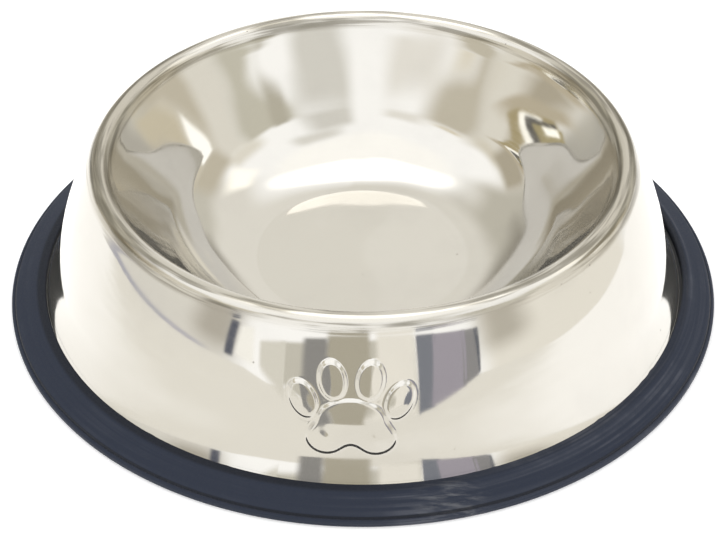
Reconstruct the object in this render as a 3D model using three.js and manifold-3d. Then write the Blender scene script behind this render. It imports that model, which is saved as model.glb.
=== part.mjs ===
// A no-tip pet bowl: one sheet of stainless steel, drawn into a basin, rolled over at the rim and
// carried down as a flared skirt, with a rubber ring stretched over the flange at the skirt's foot.
// Millimetres, +Z up, the origin on the table under the middle of the bowl, the emblem towards -Y.
import * as THREE from "three";
import { mergeVertices } from "three/addons/utils/BufferGeometryUtils.js";
import Module from "manifold-3d";

// Driving dimensions of the steel bowl
const SHEET = 0.6; // thickness of the steel
const HEIGHT = 45.4; // table to the crown of the rim
const RIM_DIAMETER = 144; // at the crown of the rim
const RIM_RADIUS = 3.3; // outer face of the rolled rim
const FLOOR_CLEARANCE = 8; // table to the underside of the basin
const BASIN_RADIUS = 30; // bend between the basin's floor and its wall
const WALL_DRAFT = 35; // degrees that the basin's wall leans from upright
const SHOULDER_BOW = 8; // degrees that the skirt leans out past its chord below the rim
const WAIST_BOW = 12.6; // degrees that it stands up from its chord where the flare begins
const FOOT_BOW = 6.4; // degrees that the flare leans out past the chord at its foot
const FLARE_RADIUS = 37; // gentle hollow curve of the flare
const BEND_RADIUS = 2.5; // bend between the flare and the flange
const FLANGE_WIDTH = 3.45; // flat part of the flange, inside the ring's groove
const FLANGE_HEIGHT = 1.6; // table to the underside of the flange

// Driving dimensions of the rubber ring
const RING_DIAMETER = 200; // widest place of the bowl
const RING_WALL = 3.8; // rubber outside the flange's edge
const RING_EDGE = 2; // height of the ring's outer side
const TREAD_WIDTH = 12; // flat underside that stands on the table
const LIP_COVER = 1; // how far up the flare the lip reaches
const LIP_FACE = 0.6; // upright face at the lip's inner edge
const LIP_RADIUS = 0.5; // rounding above that face
const LAND_WIDTH = 1.7; // level top of the lip, inside the slope
const SIDE_RADIUS = 0.7; // rounding under the outer side
const TREAD_RADIUS = 0.6; // rounding inside the tread
const SEAT_GAP = 0.3; // clearance of the rubber round the flange

// Driving dimensions of the paw emblem pressed out of the skirt
const EMBLEM_TURN = -2; // degrees that it stands left of the front
const EMBLEM_RISE = 1.1; // how far the pads stand out
const TOE_WIDTH = 6.6;
const TOE_LENGTH = 10;
const INNER_TOE_TURN = 8; // degrees that the two upper toes lean apart
const OUTER_TOE_TURN = 22; // degrees that the two side toes lean apart
const HEEL_WIDTH = 17.4;
const HEEL_LENGTH = 12.2;
const LOBE_WIDTH = 9.6;
const LOBE_LENGTH = 8.2;
const PAD_GAP = 1.4; // half the bare steel between the two upper toes

// How finely the round shapes are divided
const AROUND = 72;
const RIM_STEPS = 4; // on each side of the crown
const BASIN_STEPS = 7;
const SKIRT_STEPS = 5;
const FLARE_STEPS = 3;
const BEND_STEPS = 3;
const ROUNDING_STEPS = 2;
const PAD_SIDES = 14;
const PAD_RINGS = 6;

const rad = THREE.MathUtils.degToRad;
const point = (radius, height) => new THREE.Vector2(radius, height);
const heading = (angle) => new THREE.Vector2(Math.cos(angle), Math.sin(angle));
const onCircle = (centre, radius, angle) => heading(angle).multiplyScalar(radius).add(centre);

// Places on the half section, each a radius and a height
const floorHeight = FLOOR_CLEARANCE + SHEET;
const rimCentre = point(RIM_DIAMETER / 2, HEIGHT - RIM_RADIUS);
const flangeTop = FLANGE_HEIGHT + SHEET;
const flangeEdge = RING_DIAMETER / 2 - RING_WALL - SEAT_GAP;
const bendCentre = point(flangeEdge - FLANGE_WIDTH, flangeTop + BEND_RADIUS);

// The basin's wall leaves the rim at its draft and meets the floor's bend, which its depth may limit
const draft = rad(WALL_DRAFT);
const wallTop = onCircle(rimCentre, RIM_RADIUS, Math.PI - draft);
const basinRadius = Math.min(BASIN_RADIUS, (wallTop.y - floorHeight) / (1 - Math.sin(draft)) - SHEET);
const wallFoot = floorHeight + basinRadius * (1 - Math.sin(draft));
const wallFootRadius = wallTop.x - (wallTop.y - wallFoot) * Math.tan(draft);
const basinCentre = point(wallFootRadius - basinRadius * Math.cos(draft), floorHeight + basinRadius);

// The skirt leaves the rim leaning out, stands up to its waist, and spreads again in a gentle flare
const chord = Math.atan2(bendCentre.x - rimCentre.x - RIM_RADIUS, rimCentre.y - bendCentre.y);
const shoulderLean = chord + rad(SHOULDER_BOW);
const waistLean = chord - rad(WAIST_BOW);
const footLean = chord + rad(FOOT_BOW);
const flareCentre = onCircle(bendCentre, FLARE_RADIUS - BEND_RADIUS, footLean);
const shoulder = onCircle(rimCentre, RIM_RADIUS, shoulderLean);
const waist = onCircle(flareCentre, FLARE_RADIUS, Math.PI + waistLean);
const skirt = new THREE.QuadraticBezierCurve(
  shoulder,
  tangentCrossing(shoulder, shoulderLean, waist, waistLean),
  waist,
);
const flare = arc(flareCentre, FLARE_RADIUS, Math.PI + waistLean, Math.PI + footLean, FLARE_STEPS);

// Where two lines cross that pass through these places and lean this far out from straight down
function tangentCrossing(upper, upperLean, lower, lowerLean) {
  const upperWay = point(Math.sin(upperLean), -Math.cos(upperLean));
  const lowerWay = point(Math.sin(lowerLean), -Math.cos(lowerLean));
  const reach = lower.clone().sub(upper).cross(lowerWay) / upperWay.cross(lowerWay);
  return upperWay.multiplyScalar(reach).add(upper);
}

// An arc of the half section; it runs clockwise where the second angle is the smaller
function arc(centre, radius, from, to, steps) {
  const curve = new THREE.EllipseCurve(centre.x, centre.y, radius, radius, from, to, to < from);
  return { curve, steps };
}

function line(from, to) {
  return { curve: new THREE.LineCurve(from, to), steps: 1 };
}

// The points along joined stretches and, beside them, the points of their parallel at a distance
function traced(stretches, distance) {
  const face = [];
  const parallel = [];
  stretches.forEach(({ curve, steps }, index) => {
    for (let step = index ? 1 : 0; step <= steps; step++) {
      const place = curve.getPoint(step / steps);
      const along = curve.getTangent(step / steps);
      face.push(place);
      parallel.push(point(along.y, -along.x).multiplyScalar(distance).add(place));
    }
  });
  return { face, parallel };
}

// A half section turned round the Z axis; a first point repeated at the end closes a ring
function turned(section) {
  return new THREE.LatheGeometry(section, AROUND).rotateX(Math.PI / 2);
}

const wasm = await Module();
wasm.setup();

// Solids for cutting and joining, from geometry whose shared vertices are merged, and back
function solidOf(geometry) {
  const bare = new THREE.BufferGeometry().setAttribute("position", geometry.getAttribute("position"));
  const merged = mergeVertices(bare.setIndex(geometry.index), 1e-4);
  const mesh = new wasm.Mesh({
    numProp: 3,
    vertProperties: merged.attributes.position.array,
    triVerts: new Uint32Array(merged.index.array),
  });
  return new wasm.Manifold(mesh);
}

function geometryOf(solid) {
  const mesh = solid.getMesh();
  const geometry = new THREE.BufferGeometry();
  geometry.setAttribute("position", new THREE.BufferAttribute(mesh.vertProperties, 3));
  geometry.setIndex(new THREE.BufferAttribute(mesh.triVerts, 1));
  geometry.computeVertexNormals();
  return geometry;
}

// One sheet from the middle of the floor, up the wall, over the rim and down the skirt to the flange
function sheetBowl() {
  const { face, parallel } = traced(
    [
      line(point(0, floorHeight), point(basinCentre.x, floorHeight)),
      arc(basinCentre, basinRadius, -Math.PI / 2, -draft, BASIN_STEPS),
      line(point(wallFootRadius, wallFoot), wallTop),
      arc(rimCentre, RIM_RADIUS, Math.PI - draft, Math.PI / 2, RIM_STEPS),
      arc(rimCentre, RIM_RADIUS, Math.PI / 2, shoulderLean, RIM_STEPS),
      { curve: skirt, steps: SKIRT_STEPS },
      flare,
      arc(bendCentre, BEND_RADIUS, Math.PI + footLean, 1.5 * Math.PI, BEND_STEPS),
      line(point(bendCentre.x, flangeTop), point(flangeEdge, flangeTop)),
    ],
    SHEET,
  );
  return turned([...parallel, ...face.reverse()]);
}

// The pads of a paw, each with its middle across and up from the emblem's middle, its half sizes
// and its turn
function pawPads() {
  const toe = { halfWidth: TOE_WIDTH / 2, halfLength: TOE_LENGTH / 2 };
  const heel = { halfWidth: HEEL_WIDTH / 2, halfLength: HEEL_LENGTH / 2 };
  const lobe = { halfWidth: LOBE_WIDTH / 2, halfLength: LOBE_LENGTH / 2 };
  const heelUp = -heel.halfLength / 2;
  const lobeUp = heelUp - lobe.halfLength - PAD_GAP / 2;
  const innerUp = heelUp + heel.halfLength + toe.halfLength;
  const outerUp = toe.halfLength / 2;
  const pads = [{ ...heel, across: 0, up: heelUp, turn: 0 }];
  for (const side of [-1, 1]) {
    const lobeAcross = side * (heel.halfWidth - lobe.halfWidth / 2);
    const innerAcross = side * (toe.halfWidth + PAD_GAP);
    const outerAcross = side * (heel.halfWidth + toe.halfWidth);
    pads.push({ ...lobe, across: lobeAcross, up: lobeUp, turn: 0 });
    pads.push({ ...toe, across: innerAcross, up: innerUp, turn: -side * rad(INNER_TOE_TURN) });
    pads.push({ ...toe, across: outerAcross, up: outerUp, turn: -side * rad(OUTER_TOE_TURN) });
  }
  return pads;
}

// The skirt's outer face from the rim to the flare's foot; the emblem's middle is half way down it
const emblemPath = new THREE.CurvePath();
emblemPath.add(skirt);
emblemPath.add(flare.curve);

// An ellipsoid half sunk in the sheet where a pad stands, this far in from the skirt's outer face
function padSolid(pad, inset) {
  const share = 0.5 - pad.up / emblemPath.getLength();
  const place = emblemPath.getPoint(share);
  const along = emblemPath.getTangent(share);
  const shape = new THREE.SphereGeometry(1, PAD_SIDES, PAD_RINGS);
  shape.scale(pad.halfWidth - inset, pad.halfLength - inset, EMBLEM_RISE);
  shape.rotateZ(pad.turn);
  const upward = new THREE.Vector3(0, along.x, -along.y);
  const outward = new THREE.Vector3(0, along.y, along.x);
  const across = new THREE.Vector3(1, 0, 0);
  shape.applyMatrix4(new THREE.Matrix4().makeBasis(across, upward, outward));
  shape.translate(0, -place.x - outward.y * inset, place.y - outward.z * inset);
  shape.rotateZ(rad(EMBLEM_TURN) + pad.across / place.x);
  return solidOf(shape);
}

function steelBowl() {
  let solid = solidOf(sheetBowl());
  for (const pad of pawPads()) solid = solid.add(padSolid(pad, 0));
  for (const pad of pawPads()) solid = solid.subtract(padSolid(pad, SHEET));
  return geometryOf(solid);
}

// The rubber ring: a wedge with a level lip, and a groove that takes the flange and follows its bend
function rubberRing() {
  const outside = RING_DIAMETER / 2;
  const bore = outside - TREAD_WIDTH;
  const groove = flangeEdge + SEAT_GAP;
  const grooveFloor = FLANGE_HEIGHT - SEAT_GAP;
  const lipAngle = Math.PI + footLean - LIP_COVER / FLARE_RADIUS;
  const lipFoot = onCircle(flareCentre, FLARE_RADIUS - SEAT_GAP, lipAngle);
  const lipCentre = point(lipFoot.x + LIP_RADIUS, lipFoot.y + LIP_FACE);
  const lipTop = lipCentre.y + LIP_RADIUS;
  const landEdge = point(lipCentre.x + LAND_WIDTH, lipTop);
  const sideCentre = point(outside - SIDE_RADIUS, SIDE_RADIUS);
  const sideTop = point(outside, RING_EDGE);
  const treadCentre = point(bore + TREAD_RADIUS, grooveFloor - TREAD_RADIUS);
  const { face } = traced(
    [
      arc(sideCentre, SIDE_RADIUS, -Math.PI / 2, 0, ROUNDING_STEPS),
      line(point(outside, SIDE_RADIUS), sideTop),
      line(sideTop, landEdge),
      line(landEdge, point(lipCentre.x, lipTop)),
      arc(lipCentre, LIP_RADIUS, Math.PI / 2, Math.PI, ROUNDING_STEPS),
      line(point(lipFoot.x, lipCentre.y), lipFoot),
      line(lipFoot, onCircle(bendCentre, BEND_RADIUS - SEAT_GAP, Math.PI + footLean)),
      arc(bendCentre, BEND_RADIUS - SEAT_GAP, Math.PI + footLean, 1.5 * Math.PI, BEND_STEPS),
      line(point(bendCentre.x, flangeTop + SEAT_GAP), point(groove, flangeTop + SEAT_GAP)),
      line(point(groove, flangeTop + SEAT_GAP), point(groove, grooveFloor)),
      line(point(groove, grooveFloor), point(treadCentre.x, grooveFloor)),
      arc(treadCentre, TREAD_RADIUS, Math.PI / 2, Math.PI, ROUNDING_STEPS),
      line(point(bore, treadCentre.y), point(bore, 0)),
      line(point(bore, 0), point(sideCentre.x, 0)),
    ],
    0,
  );
  return turned(face);
}

const steel = new THREE.MeshStandardMaterial({ color: 0xd9d5cb, metalness: 1, roughness: 0.08 });
const rubber = new THREE.MeshStandardMaterial({ color: 0x353b47, metalness: 0, roughness: 0.75 });

function piece(name, geometry, material) {
  const mesh = new THREE.Mesh(geometry, material);
  mesh.name = name;
  return mesh;
}

const bowl = new THREE.Group();
bowl.add(piece("steel_bowl", steelBowl(), steel));
bowl.add(piece("rubber_ring", rubberRing(), rubber));

export default bowl;
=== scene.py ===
import math

import bmesh
import bpy
from mathutils import Matrix, Vector, noise
from mathutils.geometry import interpolate_bezier


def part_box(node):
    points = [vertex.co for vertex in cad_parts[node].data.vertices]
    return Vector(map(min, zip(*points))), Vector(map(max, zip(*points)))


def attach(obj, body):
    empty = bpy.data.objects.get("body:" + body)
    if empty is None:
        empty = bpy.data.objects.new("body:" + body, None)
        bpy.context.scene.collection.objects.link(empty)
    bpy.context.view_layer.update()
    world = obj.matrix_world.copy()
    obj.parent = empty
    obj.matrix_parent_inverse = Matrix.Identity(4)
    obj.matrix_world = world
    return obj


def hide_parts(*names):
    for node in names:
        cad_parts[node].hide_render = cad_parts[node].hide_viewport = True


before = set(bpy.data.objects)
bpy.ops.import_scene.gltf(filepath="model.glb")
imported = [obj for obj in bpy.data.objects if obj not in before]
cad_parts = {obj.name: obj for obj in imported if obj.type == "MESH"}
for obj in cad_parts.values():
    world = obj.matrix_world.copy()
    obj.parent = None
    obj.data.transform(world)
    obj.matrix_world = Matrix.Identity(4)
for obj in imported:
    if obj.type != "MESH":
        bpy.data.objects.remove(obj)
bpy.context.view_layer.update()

MM = 0.001
BOWL_LOW, BOWL_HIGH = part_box("steel_bowl")
RING_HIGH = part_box("rubber_ring")[1]

# Camera, fitted to the photograph
IMAGE_WIDTH = 726
FOCAL_PIXELS = 1913
SENSOR_WIDTH = 36
CAMERA_DISTANCE = 550 * MM
CAMERA_ELEVATION = math.radians(38.23)
CAMERA_AIM = Vector((0, 0, 2.3 * MM))

# Drawn steel sheet: radii and heights of its upper face
SHEET = 0.6 * MM
FLOOR_TOP = 8.6 * MM
BASIN_RADIUS = 30 * MM
WALL_FOOT_DRAFT = math.radians(32)
WALL_TOP_DRAFT = math.radians(38)
RIM_RADIUS = 3.3 * MM
RIM_CENTRE = Vector((72 * MM, BOWL_HIGH.z - RIM_RADIUS))
SHOULDER_BOW = math.radians(8)
WAIST_BOW = math.radians(12.6)
FOOT_BOW = math.radians(6.4)
FLARE_RADIUS = 37 * MM
BEND_RADIUS = 2.5 * MM
FLANGE_WIDTH = 3.45 * MM
FLANGE_TOP = BOWL_LOW.z + SHEET
BEND_CENTRE = Vector((BOWL_HIGH.x - FLANGE_WIDTH, FLANGE_TOP + BEND_RADIUS))

# Paw pressed into the front of the skirt
FRONT = math.radians(-90)
PAW_TURN = math.radians(-2)
PAW_SECTOR = math.radians(24)
PAW_REACH = 17.5 * MM
PAW_RISE = 0.85 * MM
PAW_EDGE = 1.1 * MM
PAW_BLEND = 2.2 * MM
PAD_FLATNESS = 0.75

# Pads of the paw: width and height, and the place of the right-hand one across and up from the middle
HEEL_SIZE = (17.4 * MM, 12.2 * MM)
HEEL_PLACE = (0, -3.1 * MM)
LOBE_SIZE = (9.6 * MM, 8.2 * MM)
LOBE_PLACE = (6.3 * MM, -7.8 * MM)
TOE_SIZE = (6.6 * MM, 10 * MM)
INNER_TOE_PLACE = (4.7 * MM, 8 * MM)
INNER_TOE_TURN = math.radians(-8)
OUTER_TOE_PLACE = (12 * MM, 2.5 * MM)
OUTER_TOE_TURN = math.radians(-22)

# Rubber ring around the foot
RING_EDGE = 2 * MM
RING_BORE = 88 * MM
LIP_COVER = 1 * MM
LIP_FACE = 0.6 * MM
LIP_RADIUS = 0.5 * MM
LAND_WIDTH = 1.7 * MM
LAND_ROUND = 0.3 * MM
SLOPE_ROUND_SHARE = 0.05
SIDE_RADIUS = 0.7 * MM
TREAD_RADIUS = 0.6 * MM
BEAD_RADIUS = 0.6 * MM
BEAD_SWEEP = math.radians(105)
CREASE_INSET = 1.02 * MM
CREASE_TOP_INSET = 1.25 * CREASE_INSET
CREASE_DEPTH = 0.75 * MM
SEAT_GAP = 0.3 * MM

# Stretch of the ring's lip that is pulled off the steel, and nibs of flash along the lip's inner edge
LIP_INNER = RING_HIGH.x - 9.7 * MM
LIP_PULL = 1.1 * MM
LIP_PULL_AT = math.radians(6)
LIP_PULL_SPAN = math.radians(34)
LIP_PULL_REACH = 4 * MM
LIP_PULL_FADE = 3 * MM
LIP_LOOSE_HEIGHT = 2 * MM
FLASH = 0.2 * MM
FLASH_REACH = 0.6 * MM
FLASH_FADE = 0.5 * MM
NIB_SCALE = 70
NIB_START = 0.35
NIB_GAIN = 3

# Steps of the spun meshes
PAW_STEPS = 120
BOWL_STEPS = 124
RING_STEPS = 320
MERGE_DISTANCE = 0.002 * MM

# Fineness of the patterns on the finishes, per metre
STEEL_LINES = 3600
RIM_STREAKS = 640
RUBBER_LINES = 900
LINE_BREAKS = 14
STREAK_BREAKS = 34
SMUDGE_FINENESS = 38
DUST_FINENESS = 260
WAVE_FINENESS = 36
GRAIN_FINENESS = 2400
SCRATCH_FINENESS = (130, 900, 900)

# Limits of the patterns' values between which a mark fades in
SMUDGE_LIMITS = (0.46, 0.72)
DUST_LIMITS = (0.09, 0.05)
DUST_CHOICE = (0.96, 0.98)
LINE_LIMITS = (0.3, 0.75)
BLOOM_LIMITS = (0.40, 0.68)
SCRATCH_LIMITS = (0.40, 0.74)
GRAIN_LIMITS = (0.3, 0.7)

# Places on the steel, as limits between which a mark fades in
RIM_HEIGHTS = (41.8 * MM, 43.6 * MM)
# Left and right sides of the rim, painted darker as painted shade
SHADED_RIM_SIDES = (46 * MM, 68 * MM)
FILM_FRONT = (6 * MM, -16 * MM)
FILM_FOOT = (46 * MM, 58 * MM)
FILM_TOP = (70 * MM, 68.5 * MM)
WAVE_FRONT = (-40 * MM, 20 * MM)
WAVE_EDGE = (66 * MM, 70 * MM)

# Height up to which the steel in the deep gap between steel and ring is painted near black, matt and not
# metallic, as painted shade
SEAM_TOP = 4.3 * MM
SEAM_FADE = 0.5 * MM

# Tones of the steel
POLISH_TONES = ((0.55, 0.534, 0.496), (0.565, 0.549, 0.511))
FILM_TONE = (0.53, 0.495, 0.42)
RIM_TONE = (0.45, 0.425, 0.37)
STREAK_TONE = (0.24, 0.225, 0.19)
SMUDGE_TONE = (0.49, 0.475, 0.445)
STEEL_DUST_TONE = (0.29, 0.275, 0.25)
SEAM_SHADE_TONE = (0.012, 0.013, 0.015)

# Strength of the steel's marks, where a pair goes from the rim's front and back to its left and right sides,
# which are painted darker with denser dark streaks as painted shade
RIM_DULLNESS_AND_SHADE = (0.4, 0.9)
STREAK_START = (0.47, 0.43)
STREAK_FULL = 0.62
SMUDGE_SHARE = 0.3

# Share of the steel that is bare metal under its thin haze, and under the film on the basin's front
STEEL_METALLIC = 0.92
FILM_METALLIC = 0.74

# Roughness of the polished steel and of the seam, and what smudges and the rim's wear add
POLISH_ROUGHNESS = (0.035, 0.07)
SMUDGE_ROUGHNESS = 0.04
RIM_ROUGHNESS = 0.1
SEAM_ROUGHNESS = 0.9

# Relief of the steel, and the shares of it left where the steel is calm
WAVE_HEIGHT = 1.5 * MM
WAVE_CALM = 0.08
STREAK_HEIGHT = 0.07 * MM
LINE_HEIGHT = 0.016 * MM
LINE_CALM = 0.02

# Tones of the rubber
RUBBER_TONES = ((0.008, 0.013, 0.027), (0.020, 0.027, 0.048))
BLOOM_AND_SHEEN_TONE = (0.088, 0.095, 0.118)
SCUFF_AND_SHEEN_TONE = (0.11, 0.115, 0.13)
RUBBER_DUST_TONE = (0.16, 0.17, 0.19)
PAINTED_SHADE_TONE = (0.002, 0.0035, 0.008)

# Bloom on the rubber, painted much stronger at the front right as a painted sheen where light falls, and the
# rubber's dust and grain
SHEEN_SIDE = (70 * MM, 130 * MM)
BLOOM_AND_SHEEN_SHARE = (0.12, 0.85)
BLOOM_ON_CLEAN = 0.25
RUBBER_DUST_SHARE = 0.5
RUBBER_ROUGHNESS = (0.62, 0.80)
RUBBER_SPECULAR = 0.30
GRAIN_HEIGHT = 0.05 * MM
GRAIN_STRENGTH = 0.7

# Place on the ring's front that has been scuffed, painted lighter as scratches and as a painted sheen
SCUFF_MIDDLE = Vector((22, -95.8, 2.5)) * MM
SCUFF_REACH = 12 * MM
SCUFF_CORE = SCUFF_REACH / 3

# Radii of the ring's level land and of its crease, which are painted towards near black as painted shade, the
# land less at the lit front right
LAND_REACH = 92.6 * MM
LAND_FADE = 0.5 * MM
LAND_SHADE_SHARE = (0.72, 0.25)
CREASE_RADIUS = RING_HIGH.x - 1.1 * MM
CREASE_LIMITS = (0.35 * MM, 0.1 * MM)
CREASE_SHADE_SHARE = 0.75


def polar(centre, radius, angle):
    """Point of the section's plane at an angle from the outward direction."""
    return centre + radius * Vector((math.cos(angle), math.sin(angle)))


def smooth_ramp(value):
    """Eases a value from 0 to 1 with flat ends."""
    held = min(max(value, 0), 1)
    return held * held * (3 - 2 * held)


# Sections are drawn in the XZ plane by moving a tip, and then spun about Z

def start_section(mesh, place):
    return mesh.verts.new((place.x, 0, place.y))


def draw_line(mesh, tip, place, steps=1):
    """Extrudes the tip straight to a place, in equal steps."""
    stride = (Vector((place.x, 0, place.y)) - tip.co) / steps
    for _ in range(steps):
        tip = bmesh.ops.extrude_vert_indiv(mesh, verts=[tip])["verts"][0]
        bmesh.ops.translate(mesh, verts=[tip], vec=stride)
    return tip


def draw_arc(mesh, tip, centre, sweep, steps):
    """Turns the tip about a centre, anticlockwise for a positive sweep."""
    arc = bmesh.ops.spin(mesh, geom=[tip], cent=(centre.x, 0, centre.y), axis=(0, -1, 0),
                         angle=sweep, steps=steps)
    return [part for part in arc["geom_last"] if isinstance(part, bmesh.types.BMVert)][0]


def spin_section(mesh, start, sweeps):
    """Spins the drawn section about Z from a start angle, through stretches of (sweep, steps)."""
    section = mesh.verts[:] + mesh.edges[:]
    bmesh.ops.rotate(mesh, verts=mesh.verts[:], cent=(0, 0, 0), matrix=Matrix.Rotation(start, 3, "Z"))
    for sweep, steps in sweeps:
        stretch = bmesh.ops.spin(mesh, geom=section, cent=(0, 0, 0), axis=(0, 0, 1), angle=sweep, steps=steps,
                                 use_merge=sweep == math.tau)
        section = stretch["geom_last"]
    bmesh.ops.remove_doubles(mesh, verts=mesh.verts[:], dist=MERGE_DISTANCE)
    bmesh.ops.recalc_face_normals(mesh, faces=mesh.faces[:])


def new_object(mesh, name, material):
    """Makes an object of a mesh, at the origin and in one material."""
    data = bpy.data.meshes.new(name)
    mesh.to_mesh(data)
    mesh.free()
    data.materials.append(material)
    made = bpy.data.objects.new(name, data)
    bpy.context.scene.collection.objects.link(made)
    return made


def finished(mesh, name, material, node):
    """Makes the piece's object, smooth all over, hangs it under the root body and hides the imported node
    that it stands for.
    """
    for face in mesh.faces:
        face.smooth = True
    piece = new_object(mesh, name, material)
    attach(piece, "root")
    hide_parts(node)
    return piece


# Steel bowl

CHORD = math.atan2(BEND_CENTRE.x - RIM_CENTRE.x - RIM_RADIUS, RIM_CENTRE.y - BEND_CENTRE.y)
SHOULDER_LEAN = CHORD + SHOULDER_BOW
WAIST_LEAN = CHORD - WAIST_BOW
FOOT_LEAN = CHORD + FOOT_BOW
FLARE_CENTRE = polar(BEND_CENTRE, FLARE_RADIUS - BEND_RADIUS, FOOT_LEAN)


def skirt_path(skirt_steps, flare_steps):
    """Points from the rim's roll down the bowed skirt to its waist and out along the gentle flare."""
    top = polar(RIM_CENTRE, RIM_RADIUS, SHOULDER_LEAN)
    waist = polar(FLARE_CENTRE, FLARE_RADIUS, math.pi + WAIST_LEAN)
    top_way = Vector((math.sin(SHOULDER_LEAN), -math.cos(SHOULDER_LEAN)))
    waist_way = Vector((math.sin(WAIST_LEAN), -math.cos(WAIST_LEAN)))
    crossing = top + top_way * ((waist - top).cross(waist_way) / top_way.cross(waist_way))
    handles = [end.lerp(crossing, 2 / 3) for end in (top, waist)]
    path = interpolate_bezier(top, handles[0], handles[1], waist, skirt_steps + 1)
    for step in range(1, flare_steps + 1):
        lean = WAIST_LEAN + (FOOT_LEAN - WAIST_LEAN) * step / flare_steps
        path.append(polar(FLARE_CENTRE, FLARE_RADIUS, math.pi + lean))
    return path


SKIRT_PATH = skirt_path(skirt_steps=84, flare_steps=24)


def draw_bowl_section(mesh):
    """Upper face of the sheet, from the floor's middle over the rim to the flange in the ring."""
    wall_top = polar(RIM_CENTRE, RIM_RADIUS, math.pi - WALL_TOP_DRAFT)
    foot_height = FLOOR_TOP + BASIN_RADIUS * (1 - math.sin(WALL_FOOT_DRAFT))
    chord_draft = (WALL_FOOT_DRAFT + WALL_TOP_DRAFT) / 2
    wall_chord = (wall_top.y - foot_height) / math.cos(chord_draft)
    wall_foot = Vector((wall_top.x - wall_chord * math.sin(chord_draft), foot_height))
    wall_opening = WALL_TOP_DRAFT - WALL_FOOT_DRAFT
    wall_radius = wall_chord / (2 * math.sin(wall_opening / 2))
    wall_centre = polar(wall_foot, wall_radius, -WALL_FOOT_DRAFT)
    basin_centre = polar(wall_foot, BASIN_RADIUS, math.pi - WALL_FOOT_DRAFT)
    tip = start_section(mesh, Vector((0, FLOOR_TOP)))
    tip = draw_line(mesh, tip, Vector((basin_centre.x, FLOOR_TOP)), steps=5)
    tip = draw_arc(mesh, tip, basin_centre, math.pi / 2 - WALL_FOOT_DRAFT, steps=26)
    tip = draw_arc(mesh, tip, wall_centre, -wall_opening, steps=14)
    tip = draw_arc(mesh, tip, RIM_CENTRE, SHOULDER_LEAN - math.pi + WALL_TOP_DRAFT, steps=22)
    for place in SKIRT_PATH[1:]:
        tip = draw_line(mesh, tip, place)
    tip = draw_arc(mesh, tip, BEND_CENTRE, math.pi / 2 - FOOT_LEAN, steps=8)
    draw_line(mesh, tip, Vector((BOWL_HIGH.x, FLANGE_TOP)), steps=2)


def skirt_drop(height):
    """Distance down the skirt's path from the rim's roll to a height, or none if it is off the path."""
    drop = 0
    for above, below in zip(SKIRT_PATH, SKIRT_PATH[1:]):
        length = (below - above).length
        if above.y >= height >= below.y:
            return drop + length * (above.y - height) / (above.y - below.y)
        drop += length
    return None


def pad_depth(middle, size, turn, across, up):
    """How far a place lies inside a pad's oval edge; negative outside it."""
    offset = Matrix.Rotation(-turn, 2) @ Vector((across - middle[0], up - middle[1]))
    reach = math.hypot(offset.x / (size[0] / 2), offset.y / (size[1] / 2))
    return (1 - reach) * min(size) / 2


def blended(first, second):
    """The larger of two depths, with a soft join where they are alike."""
    overlap = max(PAW_BLEND - abs(first - second), 0) / PAW_BLEND
    return max(first, second) + overlap * overlap * PAW_BLEND / 4


def pad_rise(depth, full):
    """Rise of a pad at a depth inside its edge: a soft edge around a gently crowned top."""
    crown = PAD_FLATNESS + (1 - PAD_FLATNESS) * smooth_ramp(depth / full)
    return PAW_RISE * crown * smooth_ramp(depth / PAW_EDGE + 0.5)


def paw_rise(across, up):
    """Rise of the paw at a place across and up from its middle."""
    palm = pad_depth(HEEL_PLACE, HEEL_SIZE, 0, across, up)
    toes = []
    for side in (-1, 1):
        lobe = pad_depth((side * LOBE_PLACE[0], LOBE_PLACE[1]), LOBE_SIZE, 0, across, up)
        palm = blended(palm, lobe)
        for place, turn in ((INNER_TOE_PLACE, INNER_TOE_TURN), (OUTER_TOE_PLACE, OUTER_TOE_TURN)):
            toes.append(pad_depth((side * place[0], place[1]), TOE_SIZE, side * turn, across, up))
    return max(pad_rise(palm, HEEL_SIZE[1] / 2), pad_rise(max(toes), TOE_SIZE[0] / 2))


def press_paw(mesh):
    """Presses the paw outward from the sheet, half way down the front of the skirt."""
    middle = skirt_drop(SKIRT_PATH[-1].y) / 2
    mesh.normal_update()
    raised = []
    for vert in mesh.verts:
        radius = math.hypot(vert.co.x, vert.co.y)
        across = radius * (math.atan2(vert.co.x, -vert.co.y) - PAW_TURN)
        if abs(across) > PAW_REACH or radius < SKIRT_PATH[0].x:
            continue
        drop = skirt_drop(vert.co.z)
        if drop is not None:
            raised.append((vert, vert.normal * paw_rise(across, middle - drop)))
    for vert, shift in raised:
        vert.co += shift


def steel_bowl(material):
    mesh = bmesh.new()
    draw_bowl_section(mesh)
    start = FRONT + PAW_TURN - PAW_SECTOR / 2
    spin_section(mesh, start, ((PAW_SECTOR, PAW_STEPS), (math.tau - PAW_SECTOR, BOWL_STEPS)))
    press_paw(mesh)
    mesh.normal_update()
    bmesh.ops.solidify(mesh, geom=mesh.faces[:], thickness=SHEET)
    finished(mesh, "steel_bowl_sheet", material, "steel_bowl")


# Rubber ring

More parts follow.
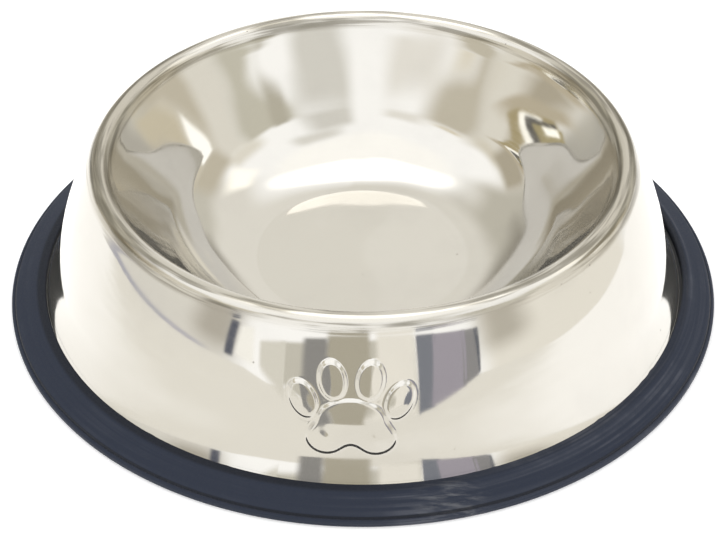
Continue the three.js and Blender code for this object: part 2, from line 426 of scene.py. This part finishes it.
def draw_ring_section(mesh):
    """Closed section: tread, side, bead and crease, slope, level lip, and the groove for the flange."""
    outer = RING_HIGH.x
    groove_top = FLANGE_TOP + SEAT_GAP
    groove_floor = BOWL_LOW.z - SEAT_GAP
    groove_radius = BOWL_HIGH.x + SEAT_GAP
    lip_foot = polar(FLARE_CENTRE, FLARE_RADIUS - SEAT_GAP, math.pi + FOOT_LEAN - LIP_COVER / FLARE_RADIUS)
    lip_centre = lip_foot + Vector((LIP_RADIUS, LIP_FACE))
    land_edge = Vector((lip_centre.x + LAND_WIDTH, RING_HIGH.z))
    slope = land_edge - Vector((outer, RING_EDGE))
    crease_top = Vector((outer, RING_EDGE)) + slope * (CREASE_TOP_INSET / -slope.x)
    crease = Vector((outer - CREASE_INSET, crease_top.y - CREASE_DEPTH))
    bead_centre = Vector((outer - BEAD_RADIUS, RING_EDGE - BEAD_RADIUS))
    tread_radius = RING_BORE + TREAD_RADIUS
    first = start_section(mesh, Vector((tread_radius, 0)))
    tip = draw_line(mesh, first, Vector((outer - SIDE_RADIUS, 0)), steps=5)
    tip = draw_arc(mesh, tip, Vector((outer - SIDE_RADIUS, SIDE_RADIUS)), math.pi / 2, steps=5)
    tip = draw_line(mesh, tip, Vector((outer, bead_centre.y)), steps=2)
    tip = draw_arc(mesh, tip, bead_centre, BEAD_SWEEP, steps=8)
    tip = draw_line(mesh, tip, crease, steps=2)
    tip = draw_line(mesh, tip, crease_top, steps=3)
    tip = draw_line(mesh, tip, land_edge.lerp(crease_top, SLOPE_ROUND_SHARE), steps=14)
    tip = draw_line(mesh, tip, land_edge - Vector((LAND_ROUND, 0)), steps=3)
    tip = draw_line(mesh, tip, Vector((lip_centre.x, RING_HIGH.z)), steps=5)
    tip = draw_arc(mesh, tip, lip_centre, math.pi / 2, steps=6)
    tip = draw_line(mesh, tip, lip_foot, steps=2)
    tip = draw_line(mesh, tip, polar(BEND_CENTRE, BEND_RADIUS - SEAT_GAP, math.pi + FOOT_LEAN), steps=2)
    tip = draw_arc(mesh, tip, BEND_CENTRE, math.pi / 2 - FOOT_LEAN, steps=5)
    tip = draw_line(mesh, tip, Vector((groove_radius, groove_top)), steps=2)
    tip = draw_line(mesh, tip, Vector((groove_radius, groove_floor)))
    tip = draw_line(mesh, tip, Vector((tread_radius, groove_floor)), steps=5)
    tip = draw_arc(mesh, tip, Vector((tread_radius, groove_floor - TREAD_RADIUS)), math.pi / 2, steps=4)
    tip = draw_line(mesh, tip, Vector((RING_BORE, TREAD_RADIUS)))
    tip = draw_arc(mesh, tip, Vector((tread_radius, TREAD_RADIUS)), math.pi / 2, steps=4)
    mesh.edges.new((tip, first))


def loosen_lip(mesh):
    """Pulls the lip off the steel on the right, and leaves small nibs of flash along its edge."""
    for vert in mesh.verts:
        radius = math.hypot(vert.co.x, vert.co.y)
        angle = math.atan2(vert.co.y, vert.co.x)
        height_share = smooth_ramp((vert.co.z - FLANGE_TOP - SEAT_GAP) / LIP_LOOSE_HEIGHT)
        inner_share = smooth_ramp((LIP_INNER + LIP_PULL_REACH - radius) / LIP_PULL_FADE)
        pull = LIP_PULL * smooth_ramp(1 - abs(angle - LIP_PULL_AT) / LIP_PULL_SPAN) * inner_share
        nib = noise.noise(Vector((NIB_SCALE * math.cos(angle), NIB_SCALE * math.sin(angle), 0)))
        edge_share = smooth_ramp((LIP_INNER + FLASH_REACH - radius) / FLASH_FADE)
        flash = FLASH * max(0, nib - NIB_START) * NIB_GAIN * edge_share
        scale = 1 + (pull - flash) * height_share / radius
        vert.co.x *= scale
        vert.co.y *= scale


def rubber_ring(material):
    """Makes the ring, which the reflected lip and table stand in for in the steel's reflections."""
    mesh = bmesh.new()
    draw_ring_section(mesh)
    spin_section(mesh, 0, ((math.tau, RING_STEPS),))
    loosen_lip(mesh)
    ring = finished(mesh, "rubber_ring_moulding", material, "rubber_ring")
    ring.visible_glossy = False


# Shader nodes: a helper that makes a node returns its output socket, or all of its outputs

def put(tree, value, socket):
    """Links a socket, or sets a plain value."""
    if isinstance(value, bpy.types.NodeSocket):
        tree.links.new(value, socket)
    else:
        socket.default_value = value


def calculate(tree, operation, *terms):
    node = tree.nodes.new("ShaderNodeMath")
    node.operation = operation
    for term, socket in zip(terms, node.inputs):
        put(tree, term, socket)
    return node.outputs[0]


def times(tree, first, second):
    return calculate(tree, "MULTIPLY", first, second)


def ease(tree, value, start, end, low=0, high=1):
    """Maps a value smoothly from between two limits to between two others."""
    node = tree.nodes.new("ShaderNodeMapRange")
    node.interpolation_type = "SMOOTHSTEP"
    limits = {"From Min": start, "From Max": end, "To Min": low, "To Max": high}
    put(tree, value, node.inputs["Value"])
    for name, limit in limits.items():
        put(tree, limit, node.inputs[name])
    return node.outputs["Result"]


def between(tree, share, low, high):
    """Goes smoothly from one value to another as a share goes from 0 to 1."""
    return ease(tree, share, 0, 1, low, high)


def blend(tree, share, first, second):
    """Mixes two colours, each a socket or three numbers."""
    node = tree.nodes.new("ShaderNodeMix")
    node.data_type = "RGBA"
    put(tree, share, node.inputs["Factor"])
    for colour, socket in ((first, node.inputs[6]), (second, node.inputs[7])):
        put(tree, (*colour, 1) if isinstance(colour, tuple) else colour, socket)
    return node.outputs[2]


def combine(tree, *parts):
    node = tree.nodes.new("ShaderNodeCombineXYZ")
    for part, socket in zip(parts, node.inputs):
        put(tree, part, socket)
    return node.outputs[0]


def separate(tree, vector):
    node = tree.nodes.new("ShaderNodeSeparateXYZ")
    tree.links.new(vector, node.inputs[0])
    return node.outputs


def object_place(tree):
    return tree.nodes.new("ShaderNodeTexCoord").outputs["Object"]


def axis_distance(tree, x, y):
    """Distance from the axis that the bowl and the ring are turned about."""
    return calculate(tree, "SQRT", calculate(tree, "MULTIPLY_ADD", x, x, times(tree, y, y)))


def cloud(tree, vector, scale, detail, roughness, fourth=None):
    """Noise from 0 to 1, with a fourth coordinate if one is given."""
    node = tree.nodes.new("ShaderNodeTexNoise")
    node.noise_dimensions = "3D" if fourth is None else "4D"
    if fourth is not None:
        put(tree, fourth, node.inputs["W"])
    put(tree, vector, node.inputs["Vector"])
    put(tree, scale, node.inputs["Scale"])
    node.inputs["Detail"].default_value = detail
    node.inputs["Roughness"].default_value = roughness
    return node.outputs["Fac"]


def bump(tree, height, distance, strength=1, normal=None):
    node = tree.nodes.new("ShaderNodeBump")
    put(tree, height, node.inputs["Height"])
    node.inputs["Distance"].default_value = distance
    node.inputs["Strength"].default_value = strength
    if normal is not None:
        put(tree, normal, node.inputs["Normal"])
    return node.outputs[0]


def new_group(name, inputs, outputs):
    """Makes a node group of plain values, and returns it with its inlet's and outlet's sockets."""
    group = bpy.data.node_groups.new(name, "ShaderNodeTree")
    for title in inputs:
        group.interface.new_socket(title, in_out="INPUT", socket_type="NodeSocketFloat")
    for title in outputs:
        group.interface.new_socket(title, in_out="OUTPUT", socket_type="NodeSocketFloat")
    inlet = group.nodes.new("NodeGroupInput")
    outlet = group.nodes.new("NodeGroupOutput")
    return group, inlet.outputs, outlet.inputs


def use_group(tree, group, **values):
    node = tree.nodes.new("ShaderNodeGroup")
    node.node_tree = group
    for name, value in values.items():
        put(tree, value, node.inputs[name.replace("_", " ").title()])
    return node.outputs


def wear_group():
    """Marks that follow the turned shape: lines around it, smudges and grains of dust."""
    scales = ("Line Scale", "Break Scale")
    group, inlet, outlet = new_group("turned_wear", scales, ("Lines", "Smudges", "Dust"))
    place = object_place(group)
    x, y, z = separate(group, place)
    fine_radius = times(group, axis_distance(group, x, y), inlet["Line Scale"])
    fine_height = times(group, z, inlet["Line Scale"])
    slow_x = times(group, x, inlet["Break Scale"])
    slow_y = times(group, y, inlet["Break Scale"])
    around = combine(group, slow_x, slow_y, fine_radius)
    put(group, cloud(group, around, 1, detail=2, roughness=0.6, fourth=fine_height), outlet["Lines"])
    smears = cloud(group, place, SMUDGE_FINENESS, detail=4, roughness=0.6)
    put(group, ease(group, smears, *SMUDGE_LIMITS), outlet["Smudges"])
    grains = group.nodes.new("ShaderNodeTexVoronoi")
    put(group, place, grains.inputs["Vector"])
    grains.inputs["Scale"].default_value = DUST_FINENESS
    near = ease(group, grains.outputs["Distance"], *DUST_LIMITS)
    tone = separate(group, grains.outputs["Color"])[0]
    put(group, times(group, near, ease(group, tone, *DUST_CHOICE)), outlet["Dust"])
    return group


def new_material(name):
    material = bpy.data.materials.new(name)
    material.use_nodes = True
    return material, material.node_tree, material.node_tree.nodes["Principled BSDF"].inputs


def polished_steel(wear):
    """Mirror-polished steel: a wavy basin with a filmed front, a streaked rim painted darker at its sides as
    painted shade, and painted shade in the seam.
    """
    material, tree, surface = new_material("polished_steel")
    lines, smudges, dust = use_group(tree, wear, line_scale=STEEL_LINES, break_scale=LINE_BREAKS)
    streaks = use_group(tree, wear, line_scale=RIM_STREAKS, break_scale=STREAK_BREAKS)["Lines"]
    place = object_place(tree)
    x, y, height = separate(tree, place)
    radius = axis_distance(tree, x, y)
    rim = ease(tree, height, *RIM_HEIGHTS)
    shaded_sides = ease(tree, calculate(tree, "ABSOLUTE", x), *SHADED_RIM_SIDES)
    wall = times(tree, ease(tree, radius, *FILM_FOOT), ease(tree, radius, *FILM_TOP))
    film = times(tree, ease(tree, y, *FILM_FRONT), wall)
    # Painted shade in the seam under the ring's lip: near black, matt and not metallic
    seam = ease(tree, height, SEAM_TOP, SEAM_TOP - SEAM_FADE)

    polish = blend(tree, lines, *POLISH_TONES)
    filmed = blend(tree, film, polish, FILM_TONE)
    # The rim is dulled, and is painted darker with denser dark streaks at its left and right sides as painted
    # shade
    dulled = blend(tree, times(tree, rim, between(tree, shaded_sides, *RIM_DULLNESS_AND_SHADE)), filmed, RIM_TONE)
    streaked = ease(tree, streaks, between(tree, shaded_sides, *STREAK_START), STREAK_FULL)
    drawn = blend(tree, times(tree, rim, streaked), dulled, STREAK_TONE)
    smeared = blend(tree, times(tree, smudges, SMUDGE_SHARE), drawn, SMUDGE_TONE)
    dusty = blend(tree, dust, smeared, STEEL_DUST_TONE)
    put(tree, blend(tree, seam, dusty, SEAM_SHADE_TONE), surface["Base Color"])

    bare = between(tree, film, STEEL_METALLIC, FILM_METALLIC)
    put(tree, between(tree, seam, bare, 0), surface["Metallic"])
    sheen = ease(tree, lines, *LINE_LIMITS, *POLISH_ROUGHNESS)
    worn = calculate(tree, "MULTIPLY_ADD", smudges, SMUDGE_ROUGHNESS, sheen)
    dull = calculate(tree, "MULTIPLY_ADD", rim, RIM_ROUGHNESS, worn)
    put(tree, between(tree, seam, dull, SEAM_ROUGHNESS), surface["Roughness"])

    backward = ease(tree, y, *WAVE_FRONT, WAVE_CALM, 1)
    basin = ease(tree, radius, *WAVE_EDGE, backward, WAVE_CALM)
    ripple = calculate(tree, "SUBTRACT", cloud(tree, place, WAVE_FINENESS, detail=0.4, roughness=0.3), 0.5)
    waves = bump(tree, times(tree, ripple, basin), WAVE_HEIGHT)
    ridges = bump(tree, times(tree, streaks, rim), STREAK_HEIGHT, normal=waves)
    spun = times(tree, lines, between(tree, rim, LINE_CALM, 1))
    put(tree, bump(tree, spun, LINE_HEIGHT, normal=ridges), surface["Normal"])
    return material


def ring_rubber(wear):
    """Blue-black rubber, matt and grained: a streaky bloom with a painted sheen at the front right, one
    scuffed place that is also a painted sheen, and painted shade on the land and in the crease.
    """
    material, tree, surface = new_material("ring_rubber")
    lines, smudges, dust = use_group(tree, wear, line_scale=RUBBER_LINES, break_scale=LINE_BREAKS)
    place = object_place(tree)
    x, y, z = separate(tree, place)
    radius = axis_distance(tree, x, y)
    grain = cloud(tree, place, GRAIN_FINENESS, detail=2, roughness=0.6)
    # The lit front right: the streaky bloom there is mostly a painted sheen
    lit_front_right = ease(tree, calculate(tree, "SUBTRACT", x, y), *SHEEN_SIDE)

    black = blend(tree, grain, *RUBBER_TONES)
    streaked = times(tree, between(tree, smudges, BLOOM_ON_CLEAN, 1), ease(tree, lines, *BLOOM_LIMITS))
    bloom = times(tree, streaked, between(tree, lit_front_right, *BLOOM_AND_SHEEN_SHARE))
    bloomed_and_lit = blend(tree, bloom, black, BLOOM_AND_SHEEN_TONE)

    offset = tree.nodes.new("ShaderNodeVectorMath")
    offset.operation = "DISTANCE"
    put(tree, place, offset.inputs[0])
    offset.inputs[1].default_value = SCUFF_MIDDLE
    near = ease(tree, offset.outputs["Value"], SCUFF_REACH, SCUFF_CORE)
    drawn_out = combine(tree, *(times(tree, way, scale) for way, scale in zip((x, y, z), SCRATCH_FINENESS)))
    scratches = ease(tree, cloud(tree, drawn_out, 1, detail=3, roughness=0.6), *SCRATCH_LIMITS)
    # Scratched place, lighter as scuffing and as a painted sheen
    scuffed = blend(tree, times(tree, near, scratches), bloomed_and_lit, SCUFF_AND_SHEEN_TONE)
    dusty = blend(tree, times(tree, dust, RUBBER_DUST_SHARE), scuffed, RUBBER_DUST_TONE)

    # Painted shade on the level land and in the crease, lighter on the land at the lit front right
    land_share = between(tree, lit_front_right, *LAND_SHADE_SHARE)
    land = ease(tree, radius, LAND_REACH + LAND_FADE, LAND_REACH - LAND_FADE, 0, land_share)
    off_crease = calculate(tree, "ABSOLUTE", calculate(tree, "SUBTRACT", radius, CREASE_RADIUS))
    crease = ease(tree, off_crease, *CREASE_LIMITS, 0, CREASE_SHADE_SHARE)
    painted_shade = calculate(tree, "MAXIMUM", land, crease)
    put(tree, blend(tree, painted_shade, dusty, PAINTED_SHADE_TONE), surface["Base Color"])

    put(tree, ease(tree, grain, *GRAIN_LIMITS, *RUBBER_ROUGHNESS), surface["Roughness"])
    surface["Specular IOR Level"].default_value = RUBBER_SPECULAR
    put(tree, bump(tree, grain, GRAIN_HEIGHT, GRAIN_STRENGTH), surface["Normal"])
    return material


# Stage: floor, reflected surroundings, light and camera

# Floor that the camera sees: half its width in metres, tone, roughness and glow
FLOOR_REACH = 3
FLOOR_TONE = (0.95, 0.95, 0.95, 1)
FLOOR_ROUGHNESS = 0.9
FLOOR_GLOW = 0.25

# Corners of the table top that the steel reflects, in millimetres
TABLE_OUTLINE = (
    (-420, 700), (-420, 160), (-900, 130), (-900, -260), (-330, -200), (-431, -322),
    (-800, -780), (-640, -780), (-210, -376), (-84, -204), (-60, -178), (0, -172),
    (41, -167), (58, -177), (110, -236), (257, -428), (336, -431), (376, -337),
    (306, -152), (294, -47), (330, 60), (420, 120), (420, 700),
)
TABLE_SHADE = (0.89, 0.865, 0.805)
TABLE_LIGHT = (1.14, 1.13, 1.115)

# Shading of the table top: its slant, the stretch over which it lightens, and how uneven it is
TABLE_SLANT = 0.3
TABLE_FADE = (-165 * MM, -15 * MM)
TABLE_UNEVENNESS = 0.7
TABLE_FINENESS = 16

# Upright cards around the table's front and right edges: four corners in millimetres, and a colour
CARDS = {
    "front_backing": (
        ((-80, -182, 17), (53, -192, -4), (53, -192, 86), (-84, -180, 70)), (0.62, 0.60, 0.53)),
    "right_backing": (
        ((47, -187, -4), (290, -402, -4), (300, -396, 152), (49, -185, 83)), (0.28, 0.275, 0.31)),
    "white_card": (
        ((-100, -140, 33), (-81, -152, 28), (-87, -148, 71), (-100, -140, 68)), (1.10, 1.09, 1.05)),
    "pale_card": (
        ((-81, -152, 28), (-57, -162, 4), (-62, -160, 66), (-85, -150, 59)), (0.78, 0.76, 0.69)),
    "dark_card": (
        ((-47, -162, -5), (-25, -166, -5), (-26, -169, 76), (-53, -166, 73)), (0.27, 0.265, 0.26)),
    "tan_card": (
        ((-31, -166, -4), (8, -168, -4), (8, -172, 81), (-33, -169, 79)), (0.45, 0.42, 0.335)),
    "brown_card": (
        ((-8, -172, 76), (8, -172, 76), (9, -172, 87), (-9, -172, 87)), (0.10, 0.08, 0.05)),
    "cream_card": (
        ((8, -172, 2), (43, -166.5, 2), (46, -165.5, 79), (8, -172, 81)), (0.95, 0.92, 0.855)),
    "navy_card": (
        ((44, -179, -4), (72, -201, -4), (79, -197, 88), (46, -177, 81)), (0.19, 0.205, 0.25)),
    "lilac_card": (
        ((62, -192, -3), (176, -292, -3), (186, -284, 117), (70, -190, 85)), (0.37, 0.345, 0.41)),
    "grey_card": (
        ((150, -268, -3), (292, -394, -2), (298, -388, 154), (160, -262, 110)), (0.27, 0.265, 0.275)),
    "right_bar": (
        ((262, -372, -2), (316, -414, -1), (336, -410, 166), (284, -376, 152)), (0.09, 0.10, 0.13)),
}
# Softness of the cards' edges as a share of their distance, and its limit as a share of their size
CARD_SOFTNESS = 0.017
CARD_SOFTNESS_LIMIT = 0.3

# Dark gap inside the ring's lip as the flare's foot reflects it: radii, height and tone
REFLECTED_LIP = (88.6 * MM, 89.4 * MM, 5.2 * MM)
REFLECTED_LIP_TONE = (0.035, 0.042, 0.06, 1)

# Room around the table, in degrees: azimuth from the camera's side, elevation, softness of both, and a colour
PANELS = {
    "ceiling": ((-200, 200), (62, 100), (1, 6), (1.22, 1.215, 1.20)),
    "lamp_left": ((-200, -128), (60, 84), (14, 4), (2.05, 2.03, 1.98)),
    "lamp_right": ((128, 200), (60, 84), (14, 4), (2.05, 2.03, 1.98)),
    "back_wall_left": ((-200, -116), (2, 56), (12, 7), (0.81, 0.79, 0.735)),
    "back_wall_right": ((112, 200), (2, 54), (10, 8), (0.85, 0.83, 0.78)),
    "back_left_shade": ((-162, -120), (-4, 52), (9, 7), (0.57, 0.55, 0.48)),
    "back_low_left": ((-168, -140), (-6, 27), (7, 5), (0.30, 0.28, 0.235)),
    "back_low_right": ((140, 168), (-6, 25), (7, 5), (0.30, 0.28, 0.235)),
    "back_right_shade": ((112, 146), (-4, 32), (10, 7), (0.64, 0.62, 0.55)),
    "low_left_shade": ((-150, -118), (-1, 11), (8, 5), (0.46, 0.445, 0.40)),
    "low_right_shade": ((118, 150), (-1, 11), (8, 5), (0.48, 0.46, 0.41)),
    "left_wall": ((-118, -45), (-12, 20), (8, 4), (0.80, 0.78, 0.73)),
    "left_dusk": ((-62, -46), (2, 20), (6, 5), (0.50, 0.47, 0.41)),
    "left_skirting": ((-108, -58), (-4, -0.8), (6, 0.8), (0.45, 0.45, 0.52)),
    "left_corner": ((-74, -57), (-7, -1), (4, 1), (0.55, 0.54, 0.60)),
    "left_post": ((-48.6, -45.4), (0.2, 15.2), (0.7, 0.6), (0.07, 0.08, 0.12)),
    "left_plaster": ((-116, -66), (12, 38), (8, 6), (0.84, 0.815, 0.745)),
    "left_upper": ((-98, -70), (31, 39.5), (7, 4), (0.77, 0.73, 0.63)),
    "left_alcove": ((-120, -88), (16.5, 36), (6, 4), (0.47, 0.425, 0.33)),
    "left_brown": ((-68, -40), (24, 35.5), (7, 2.5), (0.61, 0.57, 0.47)),
    "left_tan": ((-64, -47), (36, 38.5), (6, 1), (0.80, 0.74, 0.60)),
    "left_grey": ((-42, -14), (33, 41.5), (8, 3), (0.92, 0.90, 0.86)),
    "right_wall": ((43, 112), (-12, 20), (5, 3), (0.92, 0.89, 0.82)),
    "right_dusk": ((43, 60), (3, 20), (7, 5), (0.53, 0.50, 0.43)),
    "right_plaster": ((74, 112), (8, 33), (7, 5), (0.84, 0.815, 0.75)),
    "right_grey": ((11, 35), (30, 50), (6, 5), (0.76, 0.75, 0.71)),
    "right_grey_high": ((22, 54), (50, 60), (8, 4), (0.84, 0.83, 0.79)),
    "right_upper": ((70, 97), (31, 41), (7, 4), (0.88, 0.85, 0.77)),
    "right_glow": ((99, 122), (38, 52), (5, 4), (1.42, 1.39, 1.30)),
    "right_alcove": ((92, 120), (16, 33), (5, 4), (0.60, 0.555, 0.45)),
    "right_olive": ((36, 76), (20, 32.4), (5, 2.2), (0.62, 0.60, 0.51)),
    "right_brown": ((41, 55), (24, 34), (4, 2), (0.52, 0.495, 0.41)),
    "right_window": ((94, 106), (10.5, 16), (1.5, 1), (1.35, 1.34, 1.30)),
    "right_gold": ((107, 122), (7, 16), (3, 3), (0.66, 0.60, 0.46)),
}
# Window frame on the left wall, seen at a slant: its directions lean by these shares about a pivot
FRAME_PIVOT = (-100, 15)
FRAME_LEAN = 1.67
FRAME_SLOPE = 0.265
FRAME_PANELS = {
    "frame_plaster": ((-116, -93), (17.2, 19.6), (3, 0.8), (0.54, 0.48, 0.36)),
    "frame_gold": ((-110, -93.3), (12.2, 17.5), (0.8, 0.35), (0.42, 0.35, 0.19)),
    "frame_edge": ((-106, -96.8), (12, 17.1), (0.6, 0.25), (1.32, 1.30, 1.22)),
    "frame_dark": ((-109.5, -99), (11.8, 16.7), (0.5, 0.25), (0.11, 0.105, 0.095)),
    "frame_brass": ((-111, -101.6), (11.5, 15.8), (0.6, 0.3), (0.42, 0.36, 0.19)),
    "frame_lamp": ((-109.4, -104.8), (14.3, 15.8), (0.6, 0.3), (1.42, 1.40, 1.30)),
}
OPEN_ROOM = (1.165, 1.17, 1.185)
ROOM_GLOW = 1.5
PLAIN_LIGHT = 1.1


def staged(mesh, name, material):
    """Makes an object of the stage from a mesh."""
    prop = new_object(mesh, name, material)
    return prop


def only_reflected(prop):
    """Hides a prop from everything but reflections."""
    prop.visible_camera = False
    prop.visible_diffuse = False
    prop.visible_shadow = False
    prop.visible_transmission = False


def glowing_material(name):
    """Material that only gives light, whose colour is still to be set."""
    material, tree, surface = new_material(name)
    surface["Base Color"].default_value = (0, 0, 0, 1)
    surface["Specular IOR Level"].default_value = 0
    surface["Emission Strength"].default_value = ROOM_GLOW
    return material, tree, surface


def pale_floor():
    """Large plain floor that the camera and the soft light see."""
    material, _, surface = new_material("pale_floor")
    surface["Base Color"].default_value = FLOOR_TONE
    surface["Roughness"].default_value = FLOOR_ROUGHNESS
    surface["Emission Color"].default_value = (1, 1, 1, 1)
    surface["Emission Strength"].default_value = FLOOR_GLOW
    mesh = bmesh.new()
    bmesh.ops.create_grid(mesh, x_segments=1, y_segments=1, size=FLOOR_REACH)
    floor = staged(mesh, "pale_floor", material)
    floor.visible_glossy = False


def reflected_table():
    """Pale table top that only the polished steel reflects, shaded in front and lighter towards the back."""
    material, tree, surface = glowing_material("reflected_table")
    place = object_place(tree)
    x, y, _ = separate(tree, place)
    lightness = ease(tree, calculate(tree, "MULTIPLY_ADD", x, TABLE_SLANT, y), *TABLE_FADE)
    patches = calculate(tree, "SUBTRACT", cloud(tree, place, TABLE_FINENESS, detail=2, roughness=0.55), 0.5)
    uneven = calculate(tree, "MULTIPLY_ADD", patches, TABLE_UNEVENNESS, lightness)
    put(tree, blend(tree, ease(tree, uneven, 0, 1), TABLE_SHADE, TABLE_LIGHT), surface["Emission Color"])
    mesh = bmesh.new()
    mesh.faces.new([mesh.verts.new((across * MM, back * MM, 0)) for across, back in TABLE_OUTLINE])
    bmesh.ops.triangulate(mesh, faces=mesh.faces[:])
    only_reflected(staged(mesh, "reflected_table", material))


def reflected_lip():
    """Narrow dark band in the gap between the steel and the ring's lip, which the flare's foot reflects."""
    material, _, surface = glowing_material("reflected_lip")
    surface["Emission Color"].default_value = REFLECTED_LIP_TONE
    inner, outer, height = REFLECTED_LIP
    mesh = bmesh.new()
    tip = start_section(mesh, Vector((inner, height)))
    draw_line(mesh, tip, Vector((outer, height)))
    spin_section(mesh, 0, ((math.tau, RING_STEPS),))
    only_reflected(staged(mesh, "reflected_lip", material))


def panel_group():
    """Soft-edged rectangle, in degrees for a panel of the room and in shares of its size for a card."""
    inputs = ("Across", "Up", "Left", "Right", "Bottom", "Top", "Side Softness", "End Softness")
    group, inlet, outlet = new_group("reflected_panel", inputs, ("Mask",))
    mask = 1
    for way, low, high, softness in (("Across", "Left", "Right", "Side Softness"),
                                     ("Up", "Bottom", "Top", "End Softness")):
        for edge, sense in ((low, 1), (high, -1)):
            offset = calculate(group, "SUBTRACT", inlet[way], inlet[edge])
            share = calculate(group, "DIVIDE", offset, inlet[softness])
            mask = times(group, mask, ease(group, share, -sense, sense))
    put(group, mask, outlet["Mask"])
    return group


def panel_mask(tree, panel, across, up, sides, ends, softness):
    """Mask of one soft-edged rectangle, from its sides, its ends and the softness of both."""
    node = use_group(tree, panel, across=across, up=up, left=sides[0], right=sides[1], bottom=ends[0],
                     top=ends[1], side_softness=softness[0], end_softness=softness[1])
    return node["Mask"]


def reflected_card(name, corners, colour, panel):
    """Upright card with soft edges that only the polished steel reflects."""
    material, tree, surface = glowing_material(name)
    across, up, _ = separate(tree, tree.nodes.new("ShaderNodeTexCoord").outputs["UV"])
    low_left, low_right, _, high_left = [Vector(corner) for corner in corners]
    softness = CARD_SOFTNESS * low_left.length
    side = min(softness / (low_right - low_left).length, CARD_SOFTNESS_LIMIT)
    end = min(softness / (high_left - low_left).length, CARD_SOFTNESS_LIMIT)
    mask = panel_mask(tree, panel, across, up, (side, 1 - side), (end, 1 - end), (side, end))
    put(tree, mask, surface["Alpha"])
    surface["Emission Color"].default_value = (*colour, 1)
    mesh = bmesh.new()
    face = mesh.faces.new([mesh.verts.new(Vector(corner) * MM) for corner in corners])
    layer = mesh.loops.layers.uv.new("card")
    for loop, place in zip(face.loops, ((0, 0), (1, 0), (1, 1), (0, 1))):
        loop[layer].uv = place
    only_reflected(staged(mesh, name, material))


def room_colour(tree, panel):
    """Colour of the reflected room in each direction, from its panels laid over each other in order."""
    x, y, z = separate(tree, tree.nodes.new("ShaderNodeNewGeometry").outputs["Position"])
    azimuth = calculate(tree, "DEGREES", calculate(tree, "ARCTAN2", x, times(tree, y, -1)))
    elevation = calculate(tree, "DEGREES", calculate(tree, "ARCSINE", z))
    aside = calculate(tree, "SUBTRACT", azimuth, FRAME_PIVOT[0])
    above = calculate(tree, "SUBTRACT", elevation, FRAME_PIVOT[1])
    leaning = calculate(tree, "MULTIPLY_ADD", above, -FRAME_LEAN, azimuth)
    sloping = calculate(tree, "MULTIPLY_ADD", aside, -FRAME_SLOPE, elevation)
    room = OPEN_ROOM
    for panels, across, up in ((PANELS, azimuth, elevation), (FRAME_PANELS, leaning, sloping)):
        for sides, ends, softness, colour in panels.values():
            mask = panel_mask(tree, panel, across, up, sides, ends, softness)
            room = blend(tree, mask, room, colour)
    return room


def studio_world(panel):
    """Plain soft light everywhere, with a room of soft panels for the steel to reflect."""
    world = bpy.data.worlds.new("studio_light")
    world.use_nodes = True
    tree = world.node_tree
    plain = tree.nodes["Background"]
    plain.inputs["Color"].default_value = (1, 1, 1, 1)
    plain.inputs["Strength"].default_value = PLAIN_LIGHT
    room = tree.nodes.new("ShaderNodeBackground")
    room.inputs["Strength"].default_value = ROOM_GLOW
    tree.links.new(room_colour(tree, panel), room.inputs["Color"])
    path = tree.nodes.new("ShaderNodeLightPath")
    choice = tree.nodes.new("ShaderNodeMixShader")
    tree.links.new(path.outputs["Is Glossy Ray"], choice.inputs["Fac"])
    tree.links.new(plain.outputs[0], choice.inputs[1])
    tree.links.new(room.outputs[0], choice.inputs[2])
    tree.links.new(choice.outputs[0], tree.nodes["World Output"].inputs["Surface"])
    bpy.context.scene.world = world


def photo_camera():
    data = bpy.data.cameras.new("photo_camera")
    data.sensor_width = SENSOR_WIDTH
    data.lens = SENSOR_WIDTH * FOCAL_PIXELS / IMAGE_WIDTH
    camera = bpy.data.objects.new("photo_camera", data)
    away = Vector((0, -math.cos(CAMERA_ELEVATION), math.sin(CAMERA_ELEVATION)))
    camera.location = CAMERA_AIM + CAMERA_DISTANCE * away
    camera.rotation_euler = (math.pi / 2 - CAMERA_ELEVATION, 0, 0)
    bpy.context.scene.collection.objects.link(camera)
    bpy.context.scene.camera = camera


WEAR = wear_group()
steel_bowl(polished_steel(WEAR))
rubber_ring(ring_rubber(WEAR))
pale_floor()
reflected_table()
reflected_lip()
PANEL = panel_group()
for card, (card_corners, card_colour) in CARDS.items():
    reflected_card(card, card_corners, card_colour, PANEL)
studio_world(PANEL)
photo_camera()
bpy.context.scene.view_settings.view_transform = "Standard"
